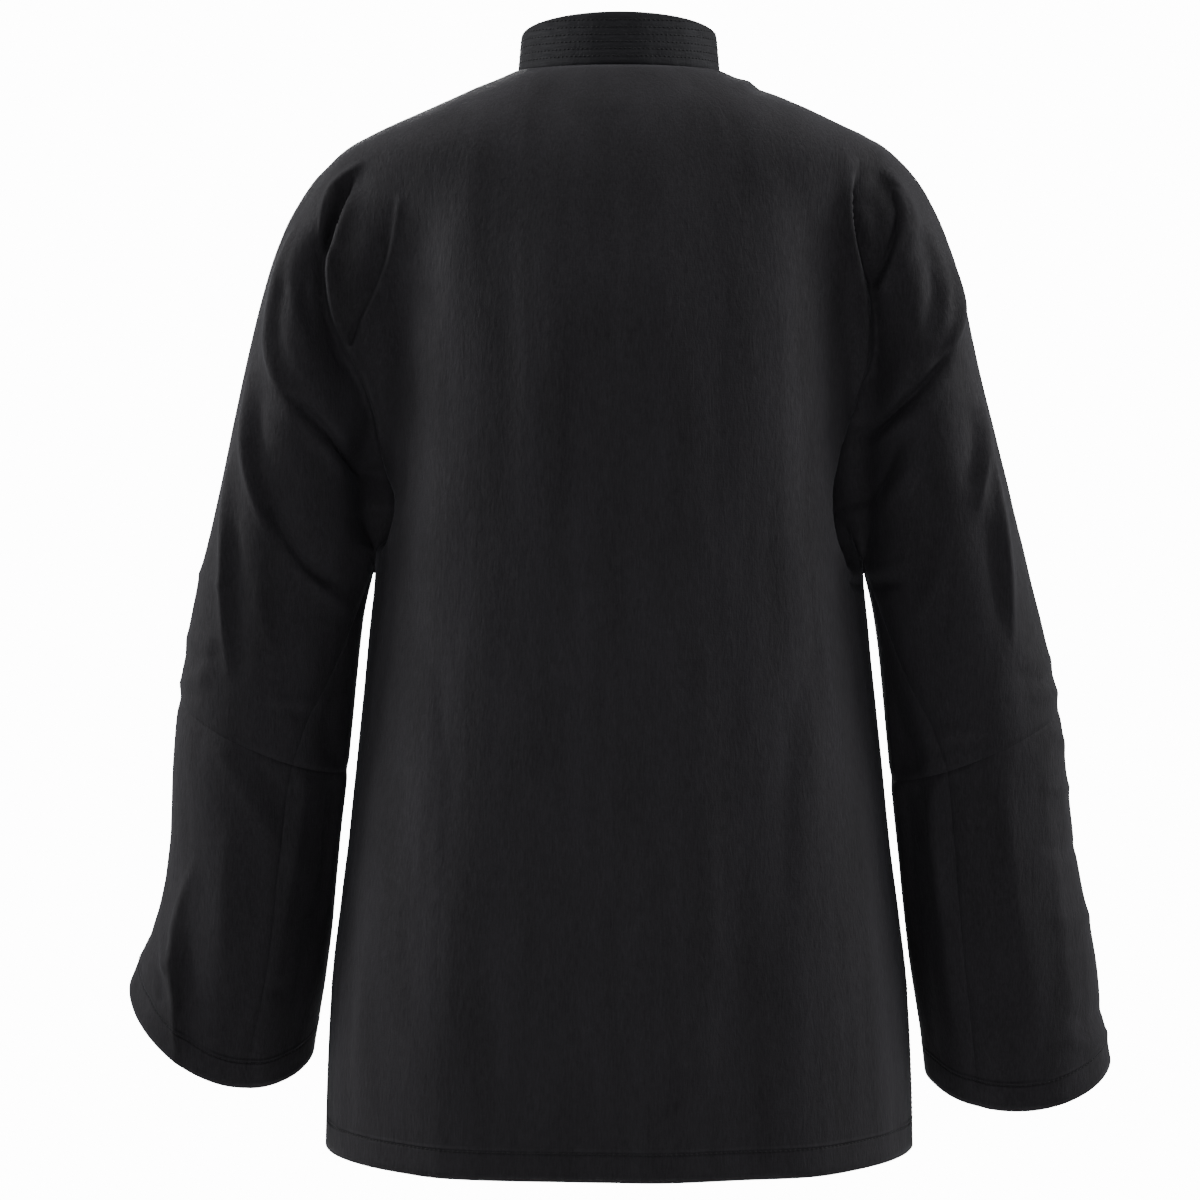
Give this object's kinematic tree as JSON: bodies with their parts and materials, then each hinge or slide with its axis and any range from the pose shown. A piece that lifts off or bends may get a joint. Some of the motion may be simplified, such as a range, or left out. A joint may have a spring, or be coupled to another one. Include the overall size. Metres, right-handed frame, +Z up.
{
  "type": "kung fu shirt",
  "caption": "Worn, hollow stand-collar shirt in the old flat cut: body and upper sleeves in one, joined lower sleeves, side vents and knotted cord closures in front.",
  "frame": {"origin": "middle of the neck opening, level with the side of the neck, where the wearer's neck and shoulders carry the shirt", "axes": "+Z up along the wearer's spine, -Y the wearer's front, +X the wearer's left"},
  "size_m": [0.6975, 0.276, 0.7775],
  "materials": {
    "black_cloth": "matt, slightly crinkled black linen and cotton cloth",
    "collar_cloth": "the same cloth, stiffened and topstitched in rows",
    "rolled_cord": "cord rolled from a bias strip of the same cloth"
  },
  "bodies": {
    "root": {"back_left": "black_cloth", "back_right": "black_cloth", "front_left": "black_cloth", "front_right": "black_cloth", "lower_sleeve_left": "black_cloth", "lower_sleeve_right": "black_cloth", "collar": "collar_cloth", "frog_knot_1": "rolled_cord", "frog_loop_1": "rolled_cord", "frog_knot_2": "rolled_cord", "frog_loop_2": "rolled_cord", "frog_knot_3": "rolled_cord", "frog_loop_3": "rolled_cord", "frog_knot_4": "rolled_cord", "frog_loop_4": "rolled_cord", "frog_knot_5": "rolled_cord", "frog_loop_5": "rolled_cord", "frog_knot_6": "rolled_cord", "frog_loop_6": "rolled_cord", "frog_knot_7": "rolled_cord", "frog_loop_7": "rolled_cord"}
  },
  "joints": []
}
